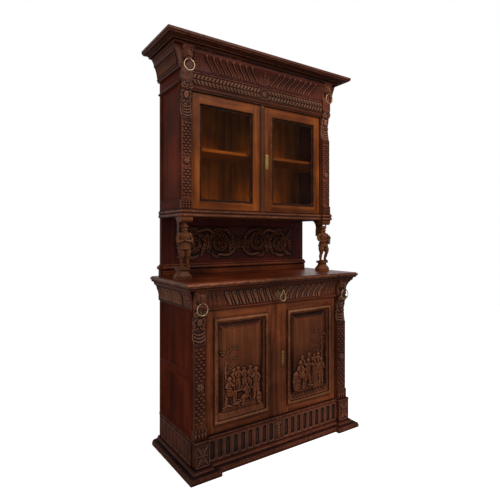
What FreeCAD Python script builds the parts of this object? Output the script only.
import FreeCAD, Part
import math
import os
from FreeCAD import Vector

# A carved oak cupboard in two stages. Lengths are in millimetres.
# X runs to the right, Y to the back and Z up, from the middle of the footprint on the floor.
# A depth is a distance forward from the back plane.

# Overall stages
case_width = 1076
base_depth = 418
upper_depth = 278
plinth_height = 166
floor_thickness = 14
base_case_height = 751
bed_height = 15
worktop_thickness = 26
niche_height = 334
foot_height = 43
upper_case_height = 857
cornice_height = 44

# Clearances shared by every fit
door_gap = 2
panel_float = 0.3
seat_gap = 0.3
overrun = 2

# Plinth
board = 22
plinth_centre_step = 14
plinth_block_step = 27
plinth_projection = 46
plinth_moulding_height = 45
plinth_block_width = 82

# Sides and backs
side_thickness = 25
front_stile = 40
back_stile = 32
side_bottom_rail = 14
side_middle_rail = 53
side_middle_rail_height = 272
side_top_rail = 116
upper_side_thickness = 22
upper_side_stile = 30
upper_side_foot_rail = 62
upper_side_head_rail = 192
panel_thickness = 10
panel_groove = 8
panel_set_back = 8
sight_chamfer = 8
back_thickness = 14
back_board_count = 7
upper_back_thickness = 12
upper_board_count = 9
back_board_chamfer = 3

# Fronts of both cases
post_width = 75
post_thickness = 22
upper_post_thickness = 24
rail_height = 11
rail_nose = 12
rail_length = 58
door_head = 636

# Shelves
shelf_thickness = 16
base_shelf_height = 330
base_shelf_set_back = 18
upper_shelf_height = 326
upper_shelf_set_back = 12
batten_height = 20
batten_width = 18

# Pilasters, and the blocks above them
base_pilaster_projection = 23
base_foot_block = 53
base_capital_height = 176
base_capital_projection = 34
upper_pilaster_width = 66
upper_pilaster_projection = 22
upper_foot_block = 48
upper_capital_height = 206
upper_capital_projection = 32
upper_block_height = 174
corner_crown_head = 43
shaft_inset = 4
shaft_recess = 5
capital_ledge = 8
capital_foot_share = 0.55
capital_bow_share = 0.1

# Friezes under the worktop
frieze_height = 100
frieze_foot = 7
frieze_head = 34
frieze_bead = 8
corner_lead = 12
frieze_cove_share = 0.12

# Drawer
drawer_gap = 1.5
drawer_length = 330
drawer_board = 12
drawer_side_height = 78
drawer_bottom_thickness = 6
drawer_bottom_lift = 8
drawer_groove = 5
drawer_front_root = 19
drawer_front_foot = 6
tail_length = 14
tail_count = 3
tail_gap = 3
tail_splay = 3
runner_height = 14
runner_width = 34
guide_height = 18

# Bed moulding and worktop
bed_overlap = 80
bed_projection = 16
worktop_side_overhang = 58
worktop_front_overhang = 72
worktop_nose = 20

# Door pivots
pivot_radius = 3
pivot_clearance = 0.05
pivot_hold = 9
pivot_tang = 6
pivot_reach = 12

# Lower doors
base_door_thickness = 26
base_door_stand = 2
base_meeting = -4
base_stile = 57
base_meeting_stile = 75
base_lock_stile = 83
base_top_rail = 54
base_bottom_rail = 52
base_panel_thickness = 12
base_panel_sink = 9
bolection_width = 36
bolection_lap = 12
bolection_rise = 12
bolection_edge = 3
field_margin = 14
field_rise = 4
field_bevel = 6

# Upper doors
upper_door_thickness = 22
upper_door_set_back = 6
upper_meeting = -15.5
upper_stile = 49.5
upper_meeting_stile = 45.5
upper_lock_stile = 86.5
upper_top_rail = 52
upper_bottom_rail = 36
sash_width = 20
sash_sink = 9
sash_back = 13
glass_thickness = 3
bead_width = 9
bead_edge = 2
strip_width = 30
strip_rise = 8

# Locks
plate_thickness = 1.6
base_plate_width = 20
base_plate_height = 92
upper_plate_width = 26
upper_plate_height = 90
base_plate_offset = 44
upper_plate_offset = 50
base_keyhole_height = 315
upper_keyhole_height = 299
keyhole_radius = 3
keyhole_slot = 9
keyhole_slot_width = 3
lock_width = 62
lock_height = 60
lock_depth = 12
bolt_height = 14
bolt_depth = 6
bolt_length = 30

# Niche
niche_thickness = 22
niche_stile = 86
niche_top_rail = 44
niche_bottom_rail = 84
niche_panel_set_back = 8
skirt_height = 65
skirt_depth = 28
skirt_overhang = 9
pedestal_width = 91
pedestal_length = 71
pedestal_height = 65
pedestal_inset = 28
pedestal_depth = 252
pedestal_corner = 16
pedestal_base_height = 17
pedestal_cap_height = 13
pedestal_neck_share = 0.62
pedestal_cap_share = 0.84
bracket_width = 44
bracket_thickness = 24
bracket_start = 165
bracket_flare = 34
pendant_height = 29
pendant_front = 300
figure_inset = 33
figure_clearance = 0.3

# Upper case
floor_front_step = 4
foot_projection = 8
foot_frame_width = 60
foot_frame_height = 21
head_moulding_height = 31
head_moulding_projection = 18
lattice_height = 60
lattice_thickness = 12
rosette_width = 56
rosette_rise = 5
crown_projection = 43
crown_height = 118
crown_side_end = 300
side_bead_height = 12
side_bead_projection = 9
side_bead_drop = 192
top_thickness = 16
cornice_projection = 109
cornice_inset = 6
cornice_back_width = 20

# Masks and their rings
mask_radius = 26
mask_rise = 30
mask_stand = 14
snout_top = 46
muzzle_radius = 9
muzzle_width = 15
ring_radius = 29
ring_wire = 3
ring_play = 1.6
ring_bends = 20
base_ring_drop = 66
base_ring_stand = 47
upper_ring_drop = 76
upper_ring_stand = 47

# Drawer pull
pull_radius = 20.5
pull_neck = 8
pull_height = 55
pull_wire = 2.5
pull_play = 2.4
pull_stand = 58
pull_lift = 14
pull_eye = 7.5
pull_eye_width = 8
pull_plate_width = 44
pull_plate_head = 4.5
pull_plate_foot = 16.5
pull_plate_thickness = 3
neck_bends = 5
bow_bends = 14

# Carved supports: heights and radii of a standing figure in hat, jacket and knee breeches
figure_height = 240
knee_share = 0.27
hem_share = 0.44
waist_share = 0.54
hand_share = 0.62
chest_share = 0.68
shoulder_share = 0.76
neck_share = 0.8
chin_share = 0.82
cheek_share = 0.86
brim_share = 0.92
body_depth_share = 0.8
ankle_radius = 6.5
calf_radius = 9
knee_radius = 11
hip_radius = 13
hem_radius = 22
waist_radius = 19
chest_radius = 23
arm_radius = 8
hand_radius = 6
neck_radius = 7
jaw_radius = 9
head_radius = 13
brim_radius = 22
brim_thickness = 3
crown_radius = 12
stance = 12
shoe_width = 14
shoe_length = 28
shoe_height = 8
drum_radius = 25
drum_length = 14
drum_offset = 10
drum_stand = 44
drum_level = 132
drum_turn = 0.4

# Outlines as shares of their own projection and height; the third number bows the next edge
quarter_share = (math.sqrt(2) - 1) / 2
half_round_share = 0.5
plinth_shares = [(0, 0, 0), (1, 0, 0), (1, 0.36, 0), (0.94, 0.36, 0), (0.94, 0.54, 0),
                 (0.7, 0.66, 0), (0.62, 0.66, -quarter_share), (0.24, 0.9, 0), (0.24, 1, 0), (0, 1, 0)]
bed_shares = [(0.15, 0, 0), (0.15, 0.2, -quarter_share), (0.8, 0.75, 0), (1, 0.75, 0), (1, 1, 0)]
nose_shares = [(0, 0, 0), (0.55, 0, 0), (0.62, 0.12, -quarter_share), (0.95, 0.36, quarter_share),
               (0.72, 0.84, 0), (0.6, 0.84, 0), (0.55, 1, 0), (0, 1, 0)]
foot_shares = [(0, 0, 0), (0.5, 0, 0), (1, 0.14, 0), (1, 0.34, 0), (0.5, 0.46, 0), (0.5, 0.54, 0),
               (1, 0.62, 0), (1, 0.78, 0), (0.4, 0.86, 0), (0.4, 1, 0), (0, 1, 0)]
head_shares = [(0, 0, 0), (0.3, 0, 0), (0.3, 0.2, quarter_share), (0.65, 0.5, 0), (0.75, 0.5, 0),
               (0.75, 0.62, -quarter_share), (1, 0.9, 0), (1, 1, 0), (0, 1, 0)]
cornice_shares = [(0, 0, 0), (0.42, 0, 0), (0.45, 0.2, 0), (0.61, 0.24, 0), (0.61, 0.36, -quarter_share),
                  (0.78, 0.46, 0), (0.8, 0.5, quarter_share), (0.95, 0.58, 0), (0.97, 0.64, 0),
                  (1, 0.7, 0), (1, 1, 0)]
crown_shares = [(0, 0, 0), (0.28, 0, 0), (0.28, 0.05, 0), (0.34, 0.08, -0.06), (0.84, 0.8, 0),
                (0.88, 0.9, 0), (0.96, 0.94, 0), (1, 1, 0), (0, 1, 0)]
bead_shares = [(0, 0, 0), (0.5, 0, 0), (0.5, 0.2, half_round_share), (0.5, 1, 0), (0, 1, 0)]
bolection_shares = [(0.4, 0.3, 0), (0.36, 0.3, quarter_share), (-0.1, 1, quarter_share), (-1, 0.4, 0)]
sash_shares = [(1, 1, 0), (0.8, 1, 0), (0.74, 0.8, -quarter_share), (0.22, 0.16, 0), (0.22, 0, 0)]
skirt_shares = [(0, 0, 0), (0.8, 0, 0), (0.8, 0.42, 0), (0.65, 0.5, 0), (0.65, 0.54, half_round_share),
                (0.65, 0.9, 0), (0.5, 1, 0), (0, 1, 0)]
pendant_shares = [(0.55, 0, quarter_share), (1, 0.45, 0), (1, 1, 0)]
wire_shares = [(math.cos(math.pi * index / 3), math.sin(math.pi * index / 3)) for index in range(6)]
body_shares = [(math.cos(math.pi * (index + 0.5) / 4), math.sin(math.pi * (index + 0.5) / 4))
               for index in range(8)]
flat_share = math.cos(math.pi / 8)
drum_shares = [(math.cos(math.pi * index / 8), math.sin(math.pi * index / 8)) for index in range(16)]
dome_shares = [(0, 1), (0.5, 1), (0.76, 0.88), (0.92, 0.62), (1, 0.3)]

# Heights of the stages, added up from the floor
floor_top = plinth_height + floor_thickness
bed_bottom = floor_top + base_case_height
worktop_bottom = bed_bottom + bed_height
worktop_top = worktop_bottom + worktop_thickness
foot_bottom = worktop_top + niche_height
upper_bottom = foot_bottom + foot_height
upper_top = upper_bottom + upper_case_height

# Places that several pieces share
half_case = case_width / 2
post_inner = half_case - post_width
upper_post_inner = half_case - upper_pilaster_width
pedestal_x = half_case - pedestal_inset
figure_x = half_case - figure_inset
plinth_centre_face = base_depth + plinth_centre_step
plinth_block_face = plinth_centre_face + plinth_block_step
plinth_block_inner = half_case - plinth_block_width
back_y = (plinth_block_face + plinth_projection) / 2
frieze_bottom = bed_bottom - frieze_height
rail_bottom = frieze_bottom - rail_height
door_head_level = upper_bottom + door_head
lattice_bottom = door_head_level + head_moulding_height
upper_block_bottom = upper_top - upper_block_height
side_bead_bottom = upper_top - side_bead_drop
base_door_face = base_depth + base_door_stand
base_door_back = base_door_face - base_door_thickness
base_door_edge = post_inner - door_gap
base_pivot_x = base_door_edge - base_door_thickness / 2
base_pivot_depth = base_door_face - base_door_thickness / 2
base_door_bottom = floor_top + door_gap
base_door_top = rail_bottom - door_gap
upper_door_face = upper_depth - upper_door_set_back
upper_door_back = upper_door_face - upper_door_thickness
upper_door_edge = upper_post_inner - door_gap
upper_pivot_x = upper_door_edge - upper_door_thickness / 2
upper_pivot_depth = upper_door_face - upper_door_thickness / 2
upper_door_bottom = upper_bottom + door_gap
upper_door_top = door_head_level - door_gap
base_shelf_front = base_door_back - base_shelf_set_back
upper_shelf_front = upper_door_back - upper_shelf_set_back
drawer_half = post_inner - drawer_gap
drawer_low = frieze_bottom + drawer_gap
drawer_front_back = base_depth - drawer_front_root
pull_level = frieze_bottom + frieze_height / 2 + pull_lift
UP = Vector(0, 0, 1)
FORWARD = Vector(0, -1, 0)
RIGHT = Vector(1, 0, 0)
figure_back = pedestal_depth - pedestal_length / 2 + bracket_thickness


def span(left, right, back, front, bottom, top):
    """Box between two places in x, two depths and two heights."""
    return Part.makeBox(right - left, front - back, top - bottom, Vector(left, back_y - front, bottom))


def mirrored(shape):
    return shape.mirror(Vector(), RIGHT)


def pair(shape):
    """The shape and its mirror image on the other side of the middle."""
    return [shape, mirrored(shape)]


def at(x, depth, z):
    return Vector(x, back_y - depth, z)


def scaled(shares, projection, height):
    """Outline rows in real lengths, from rows of shares."""
    return [(out * projection, rise * height, bow) for out, rise, bow in shares]


def section_face(rows, foot, out, up):
    """Flat section at foot. A bow curves the edge to the next row, outwards when positive."""
    points = [foot + out * row[0] + up * row[1] for row in rows]
    edges = []
    for index, row in enumerate(rows):
        start = points[index]
        end = points[(index + 1) % len(points)]
        if row[2] == 0:
            edges.append(Part.LineSegment(start, end).toShape())
            continue
        chord = end - start
        side = out * chord.dot(up) - up * chord.dot(out)
        edges.append(Part.Arc(start, (start + end) / 2 + side * row[2], end).toShape())
    return Part.Face(Part.Wire(edges))


def prism(rows, start, end, out, up):
    """Section carried straight from one point to another."""
    return section_face(rows, start, out, up).extrude(end - start)


def plate(points, direction):
    """Flat outline carried along a direction."""
    return Part.Face(Part.makePolygon(points + points[:1])).extrude(direction)


def mitre(before, after):
    both = before + after
    return both * (2 / both.dot(both))


def moulding(rows, corners, up, closed=False):
    """Lengths of a section along a path, mitred at its corners. Out is travel x up."""
    count = len(corners)
    runs = count if closed else count - 1
    travels = [(corners[(index + 1) % count] - corners[index]).normalize() for index in range(runs)]
    outs = [travel.cross(up) for travel in travels]
    low = min(row[0] for row in rows) - overrun
    high = max(row[0] for row in rows) + overrun
    bottom = min(row[1] for row in rows) - overrun
    top = max(row[1] for row in rows) + overrun
    lengths = []
    for index in range(runs):
        start = corners[index]
        end = corners[(index + 1) % count]
        out = outs[index]
        first = mitre(outs[index - 1], out) if closed or index > 0 else out
        last = mitre(out, outs[(index + 1) % runs]) if closed or index < runs - 1 else out
        reach = travels[index] * (high - low)
        bar = prism(rows, start - reach, end + reach, out, up)
        plan = [start + first * low, end + last * low, end + last * high, start + first * high]
        wedge = plate([point + up * bottom for point in plan], up * (top - bottom))
        lengths.append(bar.common(wedge).Solids[0])
    return lengths


def joined(shapes):
    """One solid from pieces that meet."""
    return shapes[0].fuse(shapes[1:]).removeSplitter().Solids[0]


def less(shape, tools):
    return shape.cut(tools).Solids[0]


def wall_path(half_width, depth, level):
    """Path round the left side, the front and the right side."""
    return [at(-half_width, 0, level), at(-half_width, depth, level), at(half_width, depth, level),
            at(half_width, 0, level)]


def break_path(half_width, block_inner, block_depth, centre_depth, level):
    """The same path with blocks that stand forward at both ends of the front."""
    left = [(-half_width, 0), (-half_width, block_depth), (-block_inner, block_depth),
            (-block_inner, centre_depth)]
    right = [(-x, depth) for x, depth in reversed(left)]
    return [at(x, depth, level) for x, depth in left + right]


def opening_path(window, depth):
    """Closed path round a window (left, right, bottom, top) whose out points into it."""
    left, right, bottom, top = window
    return [at(right, depth, bottom), at(left, depth, bottom), at(left, depth, top), at(right, depth, top)]


def shrunk(window, margin):
    left, right, bottom, top = window
    return left + margin, right - margin, bottom + margin, top - margin


def board_between(window, back, front):
    """Flat board with the outline of a window."""
    return span(window[0], window[1], back, front, window[2], window[3])


def boards(half_width, thickness, count, bottom, top):
    """Vertical back boards with chamfered front edges."""
    width = 2 * half_width / count
    chamfer = back_board_chamfer
    outline = [(0, 0), (width, 0), (width, thickness - chamfer), (width - chamfer, thickness),
               (chamfer, thickness), (0, thickness - chamfer)]
    made = []
    for index in range(count):
        left = index * width - half_width
        points = [at(left + x, depth, bottom) for x, depth in outline]
        made.append(plate(points, UP * (top - bottom)))
    return made


def side_leaf(thickness, depth, bottom, top, openings):
    """Left side frame, and the panels in its openings (back, front, bottom, top)."""
    outer = -half_case
    frame = span(outer, outer + thickness, 0, depth, bottom, top)
    face = outer + panel_set_back
    panels = []
    cuts = []
    for back, front, low, high in openings:
        cuts.append(span(outer - overrun, outer + thickness + overrun, back, front, low, high))
        wires = []
        for x, grow in ((outer, sight_chamfer), (outer + sight_chamfer, 0)):
            points = [at(x, back - grow, low - grow), at(x, back - grow, high + grow),
                      at(x, front + grow, high + grow), at(x, front + grow, low - grow)]
            wires.append(Part.makePolygon(points + points[:1]))
        cuts.append(Part.makeLoft(wires, True, True))
        for reach, pieces in ((panel_groove, cuts), (panel_groove - panel_float, panels)):
            pieces.append(span(face, face + panel_thickness, back - reach, front + reach, low - reach,
                               high + reach))
    return less(frame, cuts), panels


def stacked(rings, closed=False):
    """Solid with flat sides through rings of points; a closed one joins its last ring to the first."""
    faces = []
    if not closed:
        faces = [Part.Face(Part.makePolygon(ring + ring[:1])) for ring in (rings[0], rings[-1])]
    follows = rings[1:] + rings[:1] if closed else rings[1:]
    for ring, after in zip(rings, follows):
        for index, point in enumerate(ring):
            beside = (index + 1) % len(ring)
            corners = [point, ring[beside], after[beside], after[index], point]
            faces.append(Part.Face(Part.makePolygon(corners)))
    solid = Part.Solid(Part.Shell(faces))
    return solid if solid.Volume > 0 else solid.reversed()


def round_points(centre, across, up, shares):
    """Points of a unit outline, scaled by the two vectors it is laid along."""
    return [centre + across * x + up * y for x, y in shares]


def wire_loop(points, wire):
    """Closed loop of wire, with its bends mitred, in a plane that faces forward."""
    count = len(points)
    ways = [points[(index + 1) % count] - points[index] for index in range(count)]
    outs = [way.normalize().cross(FORWARD) for way in ways]
    rings = []
    for index, point in enumerate(points):
        across = mitre(outs[index - 1], outs[index])
        rings.append(round_points(point, across * wire, FORWARD * wire, wire_shares))
    return stacked(rings, closed=True)


def arc_points(centre_x, depth, centre_z, radius, first, last, count):
    """Points at even angles along an arc that faces forward."""
    points = []
    for index in range(count + 1):
        angle = first + (last - first) * index / count
        points.append(at(centre_x + radius * math.cos(angle), depth, centre_z + radius * math.sin(angle)))
    return points


def hung_leaf(left, right, bottom, top, face, thickness, side, window):
    """Door frame with a rounded hanging edge and a pivot hole at its top and bottom.
    Side is -1 for a door hung on its left. The window is (left, right, bottom, top)."""
    radius = thickness / 2
    pivot_x = left + radius if side < 0 else right - radius
    ends = (pivot_x, right) if side < 0 else (left, pivot_x)
    body = span(ends[0], ends[1], face - thickness, face, bottom, top)
    edge = Part.makeCylinder(radius, top - bottom, at(pivot_x, face - radius, bottom))
    cuts = [span(window[0], window[1], face - thickness - overrun, face + overrun, window[2], window[3])]
    for level in (bottom - overrun, top - pivot_reach):
        hole = at(pivot_x, face - radius, level)
        cuts.append(Part.makeCylinder(pivot_radius + pivot_clearance, pivot_reach + overrun, hole))
    return less(joined([body, edge]), cuts)


def pins(pivot_x, depth, bottom, top):
    """The two left pivots of a leaf: a square tang driven into the case and a round pin in the door."""
    half = pivot_tang / 2
    made = []
    for level, away in ((bottom - door_gap, 1), (top + door_gap, -1)):
        ends = sorted((level, level - away * pivot_hold))
        tang = span(-pivot_x - half, half - pivot_x, depth - half, depth + half, ends[0], ends[1])
        pin = Part.makeCylinder(pivot_radius, door_gap + pivot_hold, at(-pivot_x, depth, level), UP * away)
        made.append(joined([tang, pin]))
    return made


def pivot_seats(pivot_x, depth, bottom):
    """Square holes in the case for the tangs of a left and a right door, reaching up from bottom."""
    half = pivot_tang / 2
    return pair(span(-pivot_x - half, half - pivot_x, depth - half, depth + half, bottom,
                     bottom + pivot_hold))


def keyhole(x, level, back, front):
    """Through cut with the outline of a keyhole."""
    eye = Part.makeCylinder(keyhole_radius, front - back + 2 * overrun, at(x, front + overrun, level),
                            -FORWARD)
    half = keyhole_slot_width / 2
    slot = span(x - half, x + half, back - overrun, front + overrun, level - keyhole_slot, level)
    return [eye, slot]


def plinth_frame():
    """Corner posts, and the boards between them."""
    post_back = plinth_centre_face - board
    front = span(-plinth_block_inner, plinth_block_inner, post_back, plinth_centre_face, 0, plinth_height)
    back = span(-half_case, half_case, 0, board, 0, plinth_height)
    side = span(-half_case, board - half_case, board, post_back, 0, plinth_height)
    post = span(-half_case, -plinth_block_inner, post_back, plinth_block_face, 0, plinth_height)
    return [front, back] + pair(side) + pair(post)


def plinth_moulding():
    path = break_path(half_case, plinth_block_inner, plinth_block_face, plinth_centre_face, 0)
    return moulding(scaled(plinth_shares, plinth_projection, plinth_moulding_height), path, UP)


def base_floor():
    """Bottom board, whose rounded edge is the cap of the plinth."""
    outline = break_path(half_case, plinth_block_inner, plinth_block_face, plinth_centre_face, plinth_height)
    slab = plate(outline, UP * floor_thickness)
    rows = [(0, 0, half_round_share), (0, floor_thickness, 0)]
    nose = moulding(rows, outline, UP)
    return [less(joined([slab] + nose), pivot_seats(base_pivot_x, base_pivot_depth, floor_top - pivot_hold))]


def base_side():
    """Left side of the lower case, with two panels."""
    front = base_depth - front_stile
    low_bottom = floor_top + side_bottom_rail
    low_top = floor_top + side_middle_rail_height
    high_bottom = low_top + side_middle_rail
    high_top = bed_bottom - side_top_rail
    openings = [(back_stile, front, low_bottom, low_top), (back_stile, front, high_bottom, high_top)]
    return side_leaf(side_thickness, base_depth, floor_top, bed_bottom, openings)


def upper_side():
    """Left side of the upper case, with one tall panel."""
    opening = (upper_side_stile, upper_depth - upper_side_stile, upper_bottom + upper_side_foot_rail,
               upper_top - upper_side_head_rail)
    return side_leaf(upper_side_thickness, upper_depth, upper_bottom, upper_top, [opening])


def side_frames():
    return pair(base_side()[0]) + pair(upper_side()[0])


def side_panels():
    made = []
    for panel in base_side()[1] + upper_side()[1]:
        made += pair(panel)
    return made


def back_boards():
    base = boards(half_case - side_thickness, back_thickness, back_board_count, floor_top, bed_bottom)
    upper = boards(half_case - upper_side_thickness, upper_back_thickness, upper_board_count, upper_bottom,
                   upper_top)
    return base + upper


def base_posts():
    """Upright boards behind the lower pilasters."""
    return pair(span(-half_case + side_thickness, -post_inner, base_depth - post_thickness, base_depth,
                     floor_top, bed_bottom))


def drawer_rail():
    """Moulded rail under the drawer, which also holds the top pivots of the lower doors."""
    back = base_depth - rail_length
    inner = half_case - side_thickness
    body = span(-post_inner, post_inner, back, base_depth, rail_bottom, frieze_bottom)
    ears = pair(span(-inner, -post_inner, back, base_depth - post_thickness, rail_bottom, frieze_bottom))
    straight = rail_nose - rail_height / 2
    rows = [(0, 0, 0), (straight, 0, half_round_share), (straight, rail_height, 0), (0, rail_height, 0)]
    lip = prism(rows, at(-post_inner, base_depth, rail_bottom), at(post_inner, base_depth, rail_bottom),
                FORWARD, UP)
    return [less(joined([body, lip] + ears), pivot_seats(base_pivot_x, base_pivot_depth, rail_bottom))]


def drawer_runners():
    """Runner and guide in one, on each side."""
    inner = half_case - side_thickness
    front = base_depth - rail_length
    runner = span(-inner, runner_width - post_inner, back_thickness, front, frieze_bottom - runner_height,
                  frieze_bottom)
    guide = span(-inner, -drawer_half - seat_gap, back_thickness, front, frieze_bottom,
                 frieze_bottom + guide_height)
    return pair(joined([runner, guide]))


def shelves():
    base_half = half_case - side_thickness - panel_float
    base_low = floor_top + base_shelf_height
    base = span(-base_half, base_half, back_thickness + panel_float, base_shelf_front, base_low,
                base_low + shelf_thickness)
    upper_half = half_case - upper_side_thickness - panel_float
    upper_low = upper_bottom + upper_shelf_height
    upper = span(-upper_half, upper_half, upper_back_thickness + panel_float, upper_shelf_front, upper_low,
                 upper_low + shelf_thickness)
    return [base, upper]


def shelf_battens():
    """Cleats on the sides under both shelves."""
    base_inner = half_case - side_thickness
    base_top = floor_top + base_shelf_height
    base = span(-base_inner, batten_width - base_inner, back_thickness, base_shelf_front - batten_width,
                base_top - batten_height, base_top)
    upper_inner = half_case - upper_side_thickness
    upper_top_face = upper_bottom + upper_shelf_height
    upper = span(-upper_inner, batten_width - upper_inner, upper_back_thickness,
                 upper_shelf_front - batten_width, upper_top_face - batten_height, upper_top_face)
    return pair(base) + pair(upper)


def pilaster(inner, back, projection, bottom, block, top):
    """Left pilaster: a block at the foot and a shaft with a sunk field."""
    face = back + projection
    foot = span(-half_case, -inner, back, face, bottom, bottom + block)
    shaft = span(shaft_inset - half_case, -inner - shaft_inset, back, face - shaft_inset, bottom + block,
                 top)
    margin = 2 * shaft_inset
    field = span(margin - half_case, -inner - margin, face - shaft_inset - shaft_recess, face,
                 bottom + block + margin, top - margin)
    return joined([foot, less(shaft, [field])])


def pilasters():
    base = pilaster(post_inner, base_depth, base_pilaster_projection, floor_top, base_foot_block,
                    frieze_bottom - base_capital_height)
    upper = pilaster(upper_post_inner, upper_depth, upper_pilaster_projection, upper_bottom,
                     upper_foot_block, upper_block_bottom - upper_capital_height)
    return pair(base) + pair(upper)


def capital(inner, back, projection, bottom, top):
    """Left capital: a console that swells forward to its head, above a ledge."""
    foot = projection * capital_foot_share
    rise = top - bottom
    rows = [(0, 0, 0), (foot + capital_ledge, 0, 0), (foot + capital_ledge, capital_ledge, 0),
            (foot, capital_ledge, -capital_bow_share), (projection, rise - 2 * capital_ledge, 0),
            (projection, rise - capital_ledge, 0), (projection - capital_ledge, rise, 0), (0, rise, 0)]
    return prism(rows, at(-half_case, back, bottom), at(-inner, back, bottom), FORWARD, UP)


def pilaster_capitals():
    base = capital(post_inner, base_depth, base_capital_projection, frieze_bottom - base_capital_height,
                   frieze_bottom)
    upper = capital(upper_post_inner, upper_depth, upper_capital_projection,
                    upper_block_bottom - upper_capital_height, upper_block_bottom)
    return pair(base) + pair(upper)


def cove_rows(root, foot, head, height):
    """Coved section from foot up to head, with a plain bead along its top and bottom."""
    high = height - frieze_bead
    return [(-root, 0, 0), (foot, 0, 0), (foot, frieze_bead, -frieze_cove_share),
            (head - frieze_bead / 2, high, 0), (head, high, 0), (head, height, 0), (-root, height, 0)]


def base_mask_block():
    rows = cove_rows(0, corner_lead + frieze_foot, corner_lead + frieze_head, frieze_height)
    return prism(rows, at(-half_case, base_depth, frieze_bottom), at(-post_inner, base_depth, frieze_bottom),
                 FORWARD, UP)


def upper_mask_block():
    """Plain at the foot, then coved up to the cornice."""
    foot = upper_pilaster_projection
    plain = upper_block_height - crown_height
    rows = [(0, 0, 0), (foot, 0, 0), (foot, plain, -frieze_cove_share),
            (corner_crown_head - frieze_bead / 2, upper_block_height - frieze_bead, 0),
            (corner_crown_head, upper_block_height - frieze_bead, 0),
            (corner_crown_head, upper_block_height, 0), (0, upper_block_height, 0)]
    return prism(rows, at(-half_case, upper_depth, upper_block_bottom),
                 at(-upper_post_inner, upper_depth, upper_block_bottom), FORWARD, UP)


def mask_blocks():
    return pair(base_mask_block()) + pair(upper_mask_block())


def side_friezes():
    """Coved boards on the sides. The front ends of the lower ones are mitred."""
    rows = cove_rows(0, frieze_foot, frieze_head, frieze_height)
    corner = base_depth + corner_lead
    path = [at(-half_case, 0, frieze_bottom), at(-half_case, corner, frieze_bottom),
            at(0, corner, frieze_bottom)]
    base = moulding(rows, path, UP)[0]
    rows = scaled(crown_shares, crown_projection, crown_height)
    upper = prism(rows, at(-half_case, 0, upper_top - crown_height),
                  at(-half_case, crown_side_end, upper_top - crown_height), -RIGHT, UP)
    rows = scaled(bead_shares, side_bead_projection, side_bead_height)
    bead = prism(rows, at(-half_case, 0, side_bead_bottom), at(-half_case, upper_depth, side_bead_bottom),
                 -RIGHT, UP)
    return pair(base) + pair(upper) + pair(bead)


def drawer_side():
    """Left side board with its dovetails, before the groove."""
    left = -drawer_half
    back = drawer_front_back - drawer_length
    parts = [span(left, left + drawer_board, back, drawer_front_back, drawer_low,
                  drawer_low + drawer_side_height)]
    pitch = drawer_side_height / tail_count
    for index in range(tail_count):
        low = drawer_low + index * pitch + tail_gap
        high = low + pitch - 2 * tail_gap
        outline = [(0, low + tail_splay), (0, high - tail_splay), (tail_length, high), (tail_length, low)]
        points = [at(left, drawer_front_back + forward, level) for forward, level in outline]
        parts.append(Part.Face(Part.makePolygon(points + points[:1])).extrude(RIGHT * drawer_board))
    return joined(parts)


def drawer_panel(margin):
    """Bottom of the drawer; margin is how far it stays short of its grooves."""
    low = drawer_low + drawer_bottom_lift
    half = drawer_half - drawer_board + drawer_groove - margin
    return span(-half, half, drawer_front_back - drawer_length, drawer_front_back + drawer_groove - margin,
                low, low + drawer_bottom_thickness)


def drawer_front_blank():
    head = drawer_front_foot + frieze_head - frieze_foot
    rows = cove_rows(drawer_front_root, drawer_front_foot, head, frieze_height - 2 * drawer_gap)
    return prism(rows, at(-drawer_half, base_depth, drawer_low), at(drawer_half, base_depth, drawer_low),
                 FORWARD, UP)


def drawer_front():
    """Coved front, cut for the dovetails and the bottom."""
    return [less(drawer_front_blank(), pair(drawer_side()) + [drawer_panel(0)])]


def drawer_box():
    """Two sides and the back."""
    side = less(drawer_side(), [drawer_panel(0)])
    inner = drawer_half - drawer_board
    back = drawer_front_back - drawer_length
    low = drawer_low + drawer_bottom_lift + drawer_bottom_thickness
    rear = span(-inner, inner, back, back + drawer_board, low, drawer_low + drawer_side_height)
    return pair(side) + [rear]


def drawer_bottom():
    return [drawer_panel(panel_float)]


def drawer_pull_plate():
    """Plate that follows the cove of the drawer, and the eye that holds the ring."""
    foot = drawer_front_foot + pull_plate_thickness
    rows = cove_rows(0, foot, foot + frieze_head - frieze_foot, frieze_height - 2 * drawer_gap)
    half = pull_plate_width / 2
    cove = prism(rows, at(-half, base_depth, drawer_low), at(half, base_depth, drawer_low), FORWARD, UP)
    low = drawer_low + frieze_bead + pull_plate_foot
    top = drawer_low + frieze_height - 2 * drawer_gap - frieze_bead - pull_plate_head
    cover = cove.common(span(-half, half, base_depth, base_depth + pull_stand, low, top))
    side = pull_eye_width / 2
    flat = pull_eye * flat_share
    depth = base_depth + pull_stand
    stem = span(-side, side, base_depth, depth, pull_level - flat, pull_level + flat)
    rim = round_points(at(-side, depth, pull_level), FORWARD * pull_eye, UP * pull_eye, body_shares)
    knuckle = plate(rim, RIGHT * pull_eye_width)
    gap = (pull_wire + pull_play) / flat_share
    hole = plate(round_points(at(-side - overrun, depth, pull_level), FORWARD * gap, UP * gap, body_shares),
                 RIGHT * (pull_eye_width + 2 * overrun))
    return [less(cover.fuse([stem, knuckle]), [drawer_front_blank(), hole])]


def drawer_ring():
    """Pear-shaped drop of wire: a small bend, a large one, and straight stretches that touch both."""
    spread = pull_height - pull_radius - pull_neck
    lean = math.asin((pull_radius - pull_neck) / spread)
    depth = base_depth + pull_stand
    high = pull_level - pull_neck
    neck = arc_points(0, depth, high, pull_neck, lean, math.pi - lean, neck_bends)
    bow = arc_points(0, depth, high - spread, pull_radius, math.pi - lean, 2 * math.pi + lean, bow_bends)
    return [wire_loop(neck + bow, pull_wire)]


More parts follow.
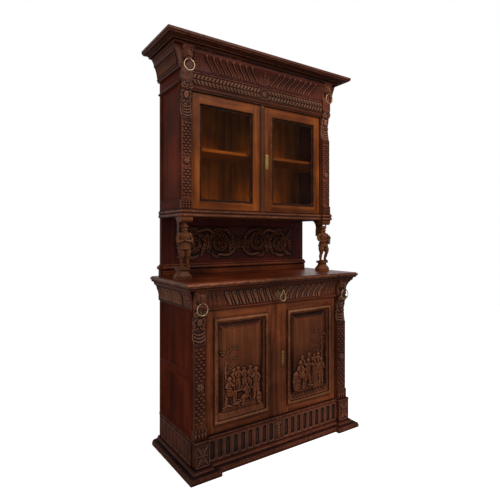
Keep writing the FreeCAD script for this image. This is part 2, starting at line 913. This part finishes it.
def bed_moulding():
    """Mitred frame under the worktop, closed by a rail at the back."""
    side = half_case + frieze_head
    front = base_depth + corner_lead + frieze_head
    rows = [(-bed_overlap, 0, 0)] + scaled(bed_shares, bed_projection, bed_height)
    rows.append((-bed_overlap, bed_height, 0))
    inner = side - bed_overlap
    rail = span(-inner, inner, 0, bed_overlap, bed_bottom, worktop_bottom)
    return moulding(rows, wall_path(side, front, bed_bottom), UP) + [rail]


def worktop():
    """Solid top with a nose worked on three sides."""
    side = half_case + worktop_side_overhang - worktop_nose
    front = base_depth + worktop_front_overhang - worktop_nose
    slab = span(-side, side, 0, front, worktop_bottom, worktop_top)
    rows = scaled(nose_shares, worktop_nose, worktop_thickness)
    return [joined([slab] + moulding(rows, wall_path(side, front, worktop_bottom), UP))]


def base_door_sizes(side):
    """Left and right edges of a lower door, and the window of its frame."""
    if side < 0:
        left, right = -base_door_edge, base_meeting - door_gap / 2
        window = (left + base_stile, right - base_meeting_stile)
    else:
        left, right = base_meeting + door_gap / 2, base_door_edge
        window = (left + base_lock_stile, right - base_stile)
    return left, right, window + (base_door_bottom + base_bottom_rail, base_door_top - base_top_rail)


def base_door_frame(side):
    left, right, window = base_door_sizes(side)
    frame = hung_leaf(left, right, base_door_bottom, base_door_top, base_door_face, base_door_thickness,
                      side, window)
    panel_face = base_door_face - base_panel_sink
    cuts = [board_between(shrunk(window, -panel_groove), panel_face - base_panel_thickness, panel_face)]
    if side > 0:
        cuts += keyhole(left + base_plate_offset, base_door_bottom + base_keyhole_height, base_door_back,
                        base_door_face)
    return [less(frame, cuts)]


def base_door_panel(side):
    """Panel with a raised field, held in the grooves of its frame."""
    window = base_door_sizes(side)[2]
    face = base_door_face - base_panel_sink
    panel = board_between(shrunk(window, panel_float - panel_groove), face - base_panel_thickness, face)
    wires = []
    for margin, rise in ((0, 0), (field_bevel, field_rise)):
        points = opening_path(shrunk(window, bolection_width - bolection_lap + field_margin + margin),
                              face + rise)
        wires.append(Part.makePolygon(points + points[:1]))
    return [joined([panel, Part.makeLoft(wires, True, True)])]


def base_door_moulding(side):
    """Mitred moulding that laps the frame and steps down to the panel."""
    window = base_door_sizes(side)[2]
    inner = bolection_width - bolection_lap
    rows = [(-bolection_lap, 0, 0), (0, 0, 0), (0, -base_panel_sink, 0), (inner, -base_panel_sink, 0),
            (inner, bolection_edge - base_panel_sink, 0)]
    for out, rise, bow in bolection_shares:
        rows.append((out * (inner if out > 0 else bolection_lap), rise * bolection_rise, bow))
    return moulding(rows, opening_path(window, base_door_face), FORWARD, closed=True)


def upper_door_sizes(side):
    """Left and right edges of an upper door, and the window of its frame."""
    if side < 0:
        left, right = -upper_door_edge, upper_meeting - door_gap / 2
        window = (left + upper_stile, right - upper_meeting_stile)
    else:
        left, right = upper_meeting + door_gap / 2, upper_door_edge
        window = (left + upper_lock_stile, right - upper_stile)
    return left, right, window + (upper_door_bottom + upper_bottom_rail, upper_door_top - upper_top_rail)


def upper_door_frame(side):
    """Frame with a moulded sash edge, rebated from behind for the glass."""
    left, right, window = upper_door_sizes(side)
    frame = hung_leaf(left, right, upper_door_bottom, upper_door_top, upper_door_face,
                      upper_door_thickness, side, window)
    rows = [(0, -sash_back, 0), (sash_width, -sash_back, 0)] + scaled(sash_shares, sash_width, -sash_sink)
    rows.append((0, 0, 0))
    sash = moulding(rows, opening_path(window, upper_door_face), FORWARD, closed=True)
    frame = joined([frame] + sash)
    if side > 0:
        frame = less(frame, keyhole(left + upper_plate_offset, upper_door_bottom + upper_keyhole_height,
                                    upper_door_back, upper_door_face))
    return [frame]


def upper_door_glass(side):
    window = shrunk(upper_door_sizes(side)[2], panel_float)
    front = upper_door_face - sash_back
    return [board_between(window, front - glass_thickness, front)]


def upper_door_beads(side):
    """Mitred beads that hold the glass from behind."""
    window = upper_door_sizes(side)[2]
    depth = sash_back + glass_thickness
    rows = [(0, -upper_door_thickness, 0), (bead_width / 2, -upper_door_thickness, 0),
            (bead_width, -depth - bead_edge, 0), (bead_width, -depth, 0), (0, -depth, 0)]
    return moulding(rows, opening_path(window, upper_door_face), FORWARD, closed=True)


def meeting_strip():
    """Rounded strip on the lock stile of the right upper door."""
    left = upper_door_sizes(1)[0]
    rows = [(0, 0, 0), (strip_width, 0, 0), (strip_width, strip_rise / 2, quarter_share / 2),
            (0, strip_rise / 2, 0)]
    start = at(left, upper_door_face, upper_door_bottom)
    return [prism(rows, start, at(left, upper_door_face, upper_door_top), RIGHT, FORWARD)]


def lock_parts(left, back, face, offset, level, plate_width, plate_height):
    """Keyhole plate on the face, and the lock case behind, slotted for its bolt."""
    x = left + offset
    cover = span(x - plate_width / 2, x + plate_width / 2, face, face + plate_thickness,
                 level - plate_height / 2, level + plate_height / 2)
    case = span(left, left + lock_width, back - lock_depth, back, level - lock_height / 2,
                level + lock_height / 2)
    middle = back - lock_depth / 2
    slot = span(left - overrun, left + bolt_length + seat_gap, middle - bolt_depth / 2 - seat_gap,
                middle + bolt_depth / 2 + seat_gap, level - bolt_height / 2 - seat_gap,
                level + bolt_height / 2 + seat_gap)
    hole = keyhole(x, level, face - seat_gap, face + plate_thickness)
    return [less(cover, hole), less(case, [slot])]


def lock_bolt(left, back, level):
    """Bolt, drawn back until its end is level with the edge of the door."""
    middle = back - lock_depth / 2
    return [span(left, left + bolt_length, middle - bolt_depth / 2, middle + bolt_depth / 2,
                 level - bolt_height / 2, level + bolt_height / 2)]


def base_lock():
    return lock_parts(base_door_sizes(1)[0], base_door_back, base_door_face, base_plate_offset,
                      base_door_bottom + base_keyhole_height, base_plate_width, base_plate_height)


def base_lock_bolt():
    return lock_bolt(base_door_sizes(1)[0], base_door_back, base_door_bottom + base_keyhole_height)


def upper_lock():
    return lock_parts(upper_door_sizes(1)[0], upper_door_back, upper_door_face, upper_plate_offset,
                      upper_door_bottom + upper_keyhole_height, upper_plate_width, upper_plate_height)


def upper_lock_bolt():
    return lock_bolt(upper_door_sizes(1)[0], upper_door_back, upper_door_bottom + upper_keyhole_height)


def pivot_pins():
    made = []
    for pin in (pins(base_pivot_x, base_pivot_depth, base_door_bottom, base_door_top)
                + pins(upper_pivot_x, upper_pivot_depth, upper_door_bottom, upper_door_top)):
        made += pair(pin)
    return made


def niche_window():
    return (niche_stile - half_case, half_case - niche_stile, worktop_top + niche_bottom_rail,
            foot_bottom - niche_top_rail)


def niche_frame():
    """Frame of the board behind the niche, grooved for its panel."""
    window = niche_window()
    frame = span(-half_case, half_case, 0, niche_thickness, worktop_top, foot_bottom)
    face = niche_thickness - niche_panel_set_back
    cuts = [board_between(window, -overrun, niche_thickness + overrun),
            board_between(shrunk(window, -panel_groove), face - panel_thickness, face)]
    wires = []
    for grow, depth in ((sight_chamfer, niche_thickness), (0, niche_thickness - sight_chamfer)):
        points = opening_path(shrunk(window, -grow), depth)
        wires.append(Part.makePolygon(points + points[:1]))
    return [less(frame, cuts + [Part.makeLoft(wires, True, True)])]


def niche_panel():
    face = niche_thickness - niche_panel_set_back
    return [board_between(shrunk(niche_window(), panel_float - panel_groove), face - panel_thickness, face)]


def niche_skirt():
    """Moulded foot of the niche board, returned round its ends."""
    rows = scaled(skirt_shares, skirt_depth, skirt_height)
    corner = at(-half_case, niche_thickness, worktop_top)
    front = prism(rows, corner, corner + RIGHT * case_width, FORWARD, UP)
    rows = scaled(skirt_shares, skirt_overhang, skirt_height)
    end = prism(rows, at(-half_case, 0, worktop_top), corner + FORWARD * skirt_overhang, -RIGHT, UP)
    return [front] + pair(end)


def eight_sided(share, level):
    """Rectangle with its corners cut off, round the middle of the left pedestal."""
    half_x, half_y, corner = pedestal_width / 2, pedestal_length / 2, pedestal_corner
    outline = [(-half_x, corner - half_y), (corner - half_x, -half_y), (half_x - corner, -half_y),
               (half_x, corner - half_y), (half_x, half_y - corner), (half_x - corner, half_y),
               (corner - half_x, half_y), (-half_x, half_y - corner)]
    return [at(x * share - pedestal_x, pedestal_depth - y * share, level) for x, y in outline]


def pedestals():
    """Block that narrows from a broad base to a neck under a projecting cap."""
    cap = worktop_top + pedestal_height - pedestal_cap_height
    levels = [(worktop_top, 1), (worktop_top + pedestal_base_height, 1),
              (cap - pedestal_cap_height, pedestal_neck_share), (cap, pedestal_neck_share)]
    body = stacked([eight_sided(share, level) for level, share in levels])
    head = plate(eight_sided(pedestal_cap_share, cap), UP * pedestal_cap_height)
    return pair(joined([body, head]))


def figure_brackets():
    """Curved bracket behind each figure's head, and the block that hangs under the upper case."""
    foot = worktop_top + pedestal_height + bracket_start
    rise = foot_bottom - foot
    bend = rise - pendant_height - bracket_flare
    flared = bracket_thickness + bracket_flare
    rows = [(-bracket_thickness, 0, 0), (0, 0, 0), (0, rise, 0), (-flared, rise, -quarter_share),
            (-bracket_thickness, bend, 0)]
    left = at(-figure_x - bracket_width / 2, figure_back, foot)
    arm = prism(rows, left, left + RIGHT * bracket_width, FORWARD, UP)
    length = pendant_front - figure_back
    rows = [(0, 0, 0)] + scaled(pendant_shares, length, pendant_height) + [(0, pendant_height, 0)]
    low = foot_bottom - pendant_height
    corner = at(-half_case, figure_back, low)
    block = prism(rows, corner, corner + RIGHT * upper_pilaster_width, FORWARD, UP)
    return pair(joined([arm, block]))


def limb(start, end, first, last):
    """Tapered limb between two points."""
    travel = (end - start).normalize()
    across = travel.cross(FORWARD).normalize()
    up = across.cross(travel)
    return stacked([round_points(start, across * first, up * first, body_shares),
                    round_points(end, across * last, up * last, body_shares)])


def standing_figure(x):
    """Legs, jacket, arms, head and hat of a standing figure, just clear of its bracket."""
    base = worktop_top + pedestal_height
    middle = figure_back + chest_radius + figure_clearance

    def spot(right, forward, share):
        return at(x + right, middle + forward, base + share * figure_height)

    def level_ring(share, radius):
        deep = FORWARD * radius * body_depth_share
        return round_points(spot(0, 0, share), RIGHT * radius, deep, body_shares)

    parts = []
    for side in (-1, 1):
        left = x + side * stance - shoe_width / 2
        heel = middle - shoe_width / 2
        parts.append(span(left, left + shoe_width, heel, heel + shoe_length, base, base + shoe_height))
        ankle = spot(side * stance, 0, 0)
        knee = spot(side * stance, 0, knee_share)
        parts.append(limb(ankle, knee, ankle_radius, calf_radius))
        parts.append(limb(knee, spot(side * stance / 2, 0, waist_share), knee_radius, hip_radius))
        shoulder = spot(side * (chest_radius - arm_radius / 2), 0, shoulder_share)
        elbow = spot(side * (chest_radius + arm_radius / 2), arm_radius, waist_share)
        hand = spot(0, chest_radius, hand_share)
        parts.append(limb(shoulder, elbow, arm_radius, arm_radius))
        parts.append(limb(elbow + (shoulder - elbow).normalize() * arm_radius, hand, arm_radius, hand_radius))
    parts.append(stacked([level_ring(hem_share, hem_radius), level_ring(waist_share, waist_radius),
                          level_ring(chest_share, chest_radius), level_ring(shoulder_share, chest_radius),
                          level_ring(neck_share, neck_radius), level_ring(chin_share, neck_radius)]))
    parts.append(stacked([level_ring(chin_share, jaw_radius), level_ring(cheek_share, head_radius),
                          level_ring(brim_share, head_radius)]))
    parts.append(plate(level_ring(brim_share, brim_radius), UP * brim_thickness))
    parts.append(stacked([level_ring(brim_share, head_radius), level_ring(1, crown_radius)]))
    return parts


def figure_left():
    """Figure with its arms folded before it."""
    return [joined(standing_figure(-figure_x))]


def figure_right():
    """Figure that holds a round drum before its left hip."""
    centre = at(figure_x + drum_offset, figure_back + drum_stand, worktop_top + pedestal_height + drum_level)
    facing = Vector(math.sin(drum_turn), -math.cos(drum_turn), 0)
    across = facing.cross(UP) * drum_radius
    rings = [round_points(centre + facing * reach, across, UP * drum_radius, drum_shares)
             for reach in (0, drum_length)]
    return [joined(standing_figure(figure_x) + [stacked(rings)])]


def upper_outline(level):
    return break_path(half_case, upper_post_inner, upper_depth + upper_pilaster_projection,
                      upper_depth + floor_front_step, level)


def upper_foot_moulding():
    """Frame under the floor of the upper case, and the moulding round it."""
    slab = plate(upper_outline(foot_bottom), UP * foot_frame_height)
    inner = half_case - foot_frame_width
    hollow = span(-inner, inner, foot_frame_width, upper_depth - foot_frame_width, foot_bottom - overrun,
                  upper_bottom)
    rows = scaled(foot_shares, foot_projection, foot_height)
    return [less(slab, [hollow])] + moulding(rows, upper_outline(foot_bottom), UP)


def upper_floor():
    bottom = foot_bottom + foot_frame_height
    slab = plate(upper_outline(bottom), UP * (upper_bottom - bottom))
    return [less(slab, pivot_seats(upper_pivot_x, upper_pivot_depth, upper_bottom - pivot_hold))]


def upper_front_frame():
    """Posts and head rail of the upper case in one."""
    inner = half_case - upper_side_thickness
    back = upper_depth - upper_post_thickness
    rail = span(-inner, inner, back, upper_depth, door_head_level, upper_top)
    posts = pair(span(-inner, -upper_post_inner, back, upper_depth, upper_bottom, upper_top))
    return [less(joined([rail] + posts), pivot_seats(upper_pivot_x, upper_pivot_depth, door_head_level))]


def upper_top_board():
    return [span(-half_case, half_case, 0, upper_depth - cornice_inset, upper_top, upper_top + top_thickness)]


def door_head_moulding():
    rows = scaled(head_shares, head_moulding_projection, head_moulding_height)
    return [prism(rows, at(-upper_post_inner, upper_depth, door_head_level),
                  at(upper_post_inner, upper_depth, door_head_level), FORWARD, UP)]


def lattice_frieze():
    """Board of the interlaced frieze, with a block for the rosette in its middle."""
    face = upper_depth + lattice_thickness
    strip = span(-upper_post_inner, upper_post_inner, upper_depth, face, lattice_bottom,
                 lattice_bottom + lattice_height)
    half = rosette_width / 2
    top = lattice_bottom + lattice_height
    block = span(-half, half, upper_depth, face + rosette_rise, lattice_bottom, top)
    return [joined([strip, block])]


def crown_frieze():
    """Coved board under the cornice, with a bead at its foot."""
    low = lattice_bottom + lattice_height
    bead = upper_top - crown_height - low
    rows = scaled(crown_shares, crown_projection, crown_height)
    width = RIGHT * (2 * upper_post_inner)
    corner = at(-upper_post_inner, upper_depth, low)
    cove = prism(rows, corner + UP * bead, corner + UP * bead + width, FORWARD, UP)
    rows = scaled(bead_shares, head_moulding_projection, bead)
    foot = prism(rows, corner, corner + width, FORWARD, UP)
    return [joined([cove, foot])]


def cornice():
    rows = scaled(cornice_shares, cornice_projection, cornice_height)
    rows += [(-cornice_back_width, cornice_height, 0), (-cornice_back_width, top_thickness, 0),
             (0, top_thickness, 0)]
    return moulding(rows, wall_path(half_case, upper_depth - cornice_inset, upper_top), UP)


def lion_mask(x, back, depth, level, block):
    """Domed mask with a snout; a ring passes through the hole across the snout."""
    reach = depth + mask_stand - muzzle_radius - back
    centre = at(x, back, level + mask_rise)
    dome = stacked([round_points(centre + FORWARD * reach * rise, RIGHT * mask_radius * share,
                                 UP * mask_radius * share, body_shares) for rise, share in dome_shares])
    half = muzzle_width / 2
    side = at(x - half, depth, level)
    round_front = round_points(side, FORWARD * muzzle_radius, UP * muzzle_radius, body_shares)
    muzzle = plate(round_front, RIGHT * muzzle_width)
    rows = [(0, -muzzle_radius * flat_share, 0), (depth - back, -muzzle_radius * flat_share, 0),
            (depth - back, muzzle_radius * flat_share, 0), (reach, snout_top, 0), (0, snout_top, 0)]
    snout = prism(rows, at(x - half, back, level), at(x + half, back, level), FORWARD, UP)
    gap = (ring_wire + ring_play) / flat_share
    hole = plate(round_points(side - RIGHT * overrun, FORWARD * gap, UP * gap, body_shares),
                 RIGHT * (muzzle_width + 2 * overrun))
    return less(joined([dome, snout, muzzle]), [block, hole])


def lion_masks():
    base = lion_mask(-base_mask_x, base_depth, base_ring_depth, base_ring_level, base_mask_block())
    upper = lion_mask(-upper_mask_x, upper_depth, upper_ring_depth, upper_ring_level, upper_mask_block())
    return pair(base) + pair(upper)


def ring(x, depth, level):
    """Ring that hangs with the middle of its top wire at level."""
    full = 2 * math.pi
    points = arc_points(x, depth, level - ring_radius, ring_radius, full / 4, full + full / 4, ring_bends)
    return [wire_loop(points[:-1], ring_wire)]


base_mask_x = (half_case + post_inner) / 2
base_ring_depth = base_depth + base_ring_stand
base_ring_level = bed_bottom - base_ring_drop
upper_mask_x = (half_case + upper_post_inner) / 2
upper_ring_depth = upper_depth + upper_ring_stand
upper_ring_level = upper_top - upper_ring_drop

pieces = {
    "plinth_frame": plinth_frame(),
    "plinth_moulding": plinth_moulding(),
    "base_floor": base_floor(),
    "side_frames": side_frames(),
    "side_panels": side_panels(),
    "back_boards": back_boards(),
    "base_posts": base_posts(),
    "drawer_rail": drawer_rail(),
    "drawer_runners": drawer_runners(),
    "shelves": shelves(),
    "shelf_battens": shelf_battens(),
    "pilasters": pilasters(),
    "pilaster_capitals": pilaster_capitals(),
    "mask_blocks": mask_blocks(),
    "side_friezes": side_friezes(),
    "bed_moulding": bed_moulding(),
    "worktop": worktop(),
    "niche_frame": niche_frame(),
    "niche_panel": niche_panel(),
    "niche_skirt": niche_skirt(),
    "pedestals": pedestals(),
    "figure_left": figure_left(),
    "figure_right": figure_right(),
    "figure_brackets": figure_brackets(),
    "upper_foot_moulding": upper_foot_moulding(),
    "upper_floor": upper_floor(),
    "upper_front_frame": upper_front_frame(),
    "upper_top": upper_top_board(),
    "door_head_moulding": door_head_moulding(),
    "lattice_frieze": lattice_frieze(),
    "crown_frieze": crown_frieze(),
    "cornice": cornice(),
    "lion_masks": lion_masks(),
    "pivot_pins": pivot_pins(),
    "drawer_front": drawer_front(),
    "drawer_box": drawer_box(),
    "drawer_bottom": drawer_bottom(),
    "drawer_pull_plate": drawer_pull_plate(),
    "drawer_ring": drawer_ring(),
    "base_lock": base_lock(),
    "base_lock_bolt": base_lock_bolt(),
    "upper_lock": upper_lock(),
    "upper_lock_bolt": upper_lock_bolt(),
    "meeting_strip": meeting_strip(),
}
for hand, side in (("left", -1), ("right", 1)):
    pieces["base_door_frame_" + hand] = base_door_frame(side)
    pieces["base_door_panel_" + hand] = base_door_panel(side)
    pieces["base_door_moulding_" + hand] = base_door_moulding(side)
    pieces["upper_door_frame_" + hand] = upper_door_frame(side)
    pieces["upper_glass_" + hand] = upper_door_glass(side)
    pieces["upper_glass_beads_" + hand] = upper_door_beads(side)
    pieces["base_ring_" + hand] = ring(side * base_mask_x, base_ring_depth, base_ring_level)
    pieces["upper_ring_" + hand] = ring(side * upper_mask_x, upper_ring_depth, upper_ring_level)

os.makedirs("parts", exist_ok=True)
for name, solids in pieces.items():
    shape = solids[0] if len(solids) == 1 else Part.makeCompound(solids)
    shape.exportStep("parts/" + name + ".step")
print(len(pieces), "nodes,", sum(len(solids) for solids in pieces.values()), "solids")
